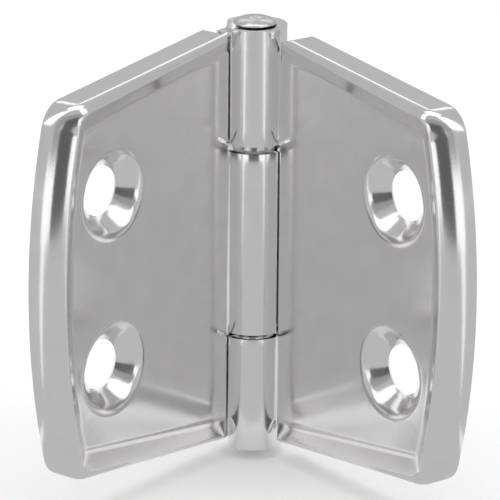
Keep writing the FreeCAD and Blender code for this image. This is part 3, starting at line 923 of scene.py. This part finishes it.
class HINGE_OT_pin(bpy.types.Operator):
    """Builds the pin with its two peened heads"""

    bl_idname = "hinge.pin"
    bl_label = "Pin"

    def execute(self, context):
        scene = context.scene
        sheet = in_millimetres(scene.hinge_sheet)
        half = pin_section(in_millimetres(scene.hinge_pin), sheet.knuckle_half_length)
        section = [(radius, -height) for radius, height in reversed(half)] + half[1:]
        piece = turned_object("peened_pin", section, PIN_SIDES)
        finish = in_millimetres(scene.hinge_finish)
        piece.data.materials.append(peened_stainless("peened_stainless", finish))
        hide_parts("pin")
        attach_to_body(piece, "left_side")
        return {"FINISHED"}


# The studio is laid out in metres. The mats lie on the floor outside the picture and leave strips
# of bare floor between them, which the steel shows as its bright stripes.
FLOOR_SIDE = 3.0
FLOOR_GAP = 0.0002
FRONT_MAT = [(-0.19, -0.4), (0.19, -0.4), (0.024, -0.012), (-0.024, -0.012)]
LEFT_MAT = [(-0.045, 0.2), (-0.03, -0.012), (-0.03, -0.029), (-0.327, -0.4), (-0.6, -0.4), (-0.6, 0.2)]


def outlined_card(name, corners, matrix, material):
    """A flat card with the given corners, which is no part of the hinge."""
    mesh = bpy.data.meshes.new(name)
    mesh.from_pydata([(x, y, 0) for x, y in corners], [], [tuple(range(len(corners)))])
    mesh.materials.append(material)
    card = link_mesh(name, mesh)
    card.matrix_world = matrix
    return card


def flat_card(name, width, height, matrix, material):
    right = width / 2
    top = height / 2
    return outlined_card(name, [(-right, -top), (right, -top), (right, top), (-right, top)], matrix, material)


def mirrored_only(card):
    """Keeps a card out of the picture and off the floor: only the steel shows it."""
    card.visible_camera = False
    card.visible_diffuse = False
    card.visible_shadow = False


def standing_card(name, material, floor_height, azimuth, half_angle, top_angle, distance):
    """A card that stands on the floor at an azimuth from -Y towards +X and faces the hinge, which
    sees it from edge to edge under twice half_angle and up to top_angle. All angles in degrees."""
    turn = math.radians(azimuth)
    top = distance * math.tan(math.radians(top_angle))
    place = Vector((math.sin(turn) * distance, -math.cos(turn) * distance, (top + floor_height) / 2))
    way = Vector((-place.x, -place.y, 0)).normalized()
    matrix = Matrix.Translation(place) @ way.to_track_quat("Z", "Y").to_matrix().to_4x4()
    width = 2 * distance * math.tan(math.radians(half_angle))
    mirrored_only(flat_card(name, width, top - floor_height, matrix, material))


def softbox(name, radiance, azimuth, elevation, distance, width, height):
    """An area light at an azimuth from -Y towards +X that looks at the hinge. Angles in degrees."""
    turn = math.radians(azimuth)
    lift = math.radians(elevation)
    flat = math.cos(lift)
    place = Vector((math.sin(turn) * flat, -math.cos(turn) * flat, math.sin(lift))) * distance
    data = bpy.data.lights.new(name, "AREA")
    data.shape = "RECTANGLE"
    data.size = width
    data.size_y = height
    data.energy = radiance * math.pi * width * height
    lamp = bpy.data.objects.new(name, data)
    lamp.matrix_world = Matrix.Translation(place) @ (-place).to_track_quat("-Z", "Y").to_matrix().to_4x4()
    lamp.visible_camera = False
    bpy.context.scene.collection.objects.link(lamp)


class HINGE_OT_studio(bpy.types.Operator):
    """Builds the floor, the lights and the camera"""

    bl_idname = "hinge.studio"
    bl_label = "Studio"

    def execute(self, context):
        scene = context.scene
        studio = in_millimetres(scene.hinge_studio)
        floor_height = min(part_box(node)[0].z for node in frame["nodes"]) - FLOOR_GAP
        flat_card("floor", FLOOR_SIDE, FLOOR_SIDE, Matrix.Translation((0, 0, floor_height)),
                  white_paper("white_floor_paper", studio))
        self.add_cards(studio, floor_height)
        self.add_lamps(studio)
        scene.world = bpy.data.worlds.new("pale_tent")
        scene.world.use_nodes = True
        tree = scene.world.node_tree
        tree.nodes.clear()
        glow = add_node(tree, "ShaderNodeBackground", {"Color": studio.world_colour, "Strength": 1.0})
        add_node(tree, "ShaderNodeOutputWorld", {"Surface": glow.outputs["Background"]})
        scene.view_settings.view_transform = "Standard"
        self.add_camera(scene, studio)
        return {"FINISHED"}

    def add_cards(self, studio, floor_height):
        """The mats, cards and boards that only the steel shows."""
        mat = lit_card("grey_mat", studio.mat_colour, 1.0)
        on_floor = Matrix.Translation((0, 0, floor_height + FLOOR_GAP))
        right_mat = [(-x, y) for x, y in LEFT_MAT]
        for name, corners in (("front_mat", FRONT_MAT), ("left_mat", LEFT_MAT), ("right_mat", right_mat)):
            mirrored_only(outlined_card(name, corners, on_floor, mat))
        board = lit_card("white_board", linear("#FFFFFF"), studio.board_power)
        black = lit_card("black_card", studio.black_colour, 1.0)
        grey = lit_card("grey_card", studio.grey_colour, 1.0)
        standing_card("black_card", black, floor_height, azimuth=0, half_angle=18, top_angle=16, distance=0.2)
        standing_card("grey_card", grey, floor_height, azimuth=0, half_angle=36, top_angle=32, distance=0.21)
        for name, azimuth in (("left_board", -31), ("right_board", 31)):
            standing_card(name, board, floor_height, azimuth, half_angle=12, top_angle=7, distance=0.2)

    def add_lamps(self, studio):
        side = studio.box_power * studio.side_share
        back = studio.box_power * studio.back_share
        softbox("softbox_left", side, azimuth=-60, elevation=37, distance=0.6, width=0.3, height=0.46)
        softbox("softbox_right", side, azimuth=55, elevation=38, distance=0.6, width=0.4, height=0.46)
        softbox("softbox_back", back, azimuth=180, elevation=40, distance=0.6, width=0.4, height=0.1)
        softbox("softbox_top", studio.box_power, azimuth=0, elevation=88, distance=0.9, width=0.8, height=0.8)

    def add_camera(self, scene, studio):
        """The camera looks past the pin's middle, so that it falls on its pixel of the picture."""
        data = bpy.data.cameras.new("camera")
        data.sensor_width = SENSOR
        data.lens = studio.focal_pixels / IMAGE_SIDE * SENSOR
        data.clip_start = 0.01
        data.clip_end = 10
        distance = studio.distance * MM
        place = Vector((0, -math.cos(studio.elevation), math.sin(studio.elevation))) * distance
        ahead = -place.normalized()
        level = ahead.cross(Vector((0, 0, 1))).normalized()
        over = level.cross(ahead)
        cosine, sine = math.cos(studio.roll), math.sin(studio.roll)
        right = level * cosine + over * sine
        over = over * cosine - level * sine
        middle = IMAGE_SIDE / 2
        pixel = distance / studio.focal_pixels
        target = (right * (middle - studio.origin_x) + over * (studio.origin_y - middle)) * pixel
        ahead = (target - place).normalized()
        right = (right - ahead * right.dot(ahead)).normalized()
        over = right.cross(ahead)
        camera = bpy.data.objects.new("camera", data)
        turn = Matrix((right, over, -ahead)).transposed().to_4x4()
        camera.matrix_world = Matrix.Translation(place) @ turn
        scene.collection.objects.link(camera)
        scene.camera = camera


class HINGE_PT_panel(bpy.types.Panel):
    """Lists the hinge's pieces"""

    bl_idname = "HINGE_PT_panel"
    bl_label = "Cranked hinge"
    bl_space_type = "VIEW_3D"
    bl_region_type = "UI"
    bl_category = "Hinge"

    def draw(self, context):
        for operator in OPERATORS:
            self.layout.operator(operator.bl_idname)


GROUPS = {
    "hinge_sheet": SheetSizes,
    "hinge_pin": PinSizes,
    "hinge_finish": SteelFinish,
    "hinge_studio": StudioSettings,
}
OPERATORS = (HINGE_OT_left_leaf, HINGE_OT_right_leaf, HINGE_OT_pin, HINGE_OT_studio)


def register():
    for name, group in GROUPS.items():
        bpy.utils.register_class(group)
        setattr(bpy.types.Scene, name, bpy.props.PointerProperty(type=group))
    for operator in OPERATORS:
        bpy.utils.register_class(operator)
    bpy.utils.register_class(HINGE_PT_panel)


def unregister():
    bpy.utils.unregister_class(HINGE_PT_panel)
    for operator in reversed(OPERATORS):
        bpy.utils.unregister_class(operator)
    for name, group in GROUPS.items():
        delattr(bpy.types.Scene, name)
        bpy.utils.unregister_class(group)


def main():
    register()
    bpy.ops.hinge.left_leaf()
    bpy.ops.hinge.right_leaf()
    bpy.ops.hinge.pin()
    bpy.ops.hinge.studio()


if __name__ == "__main__":
    main()
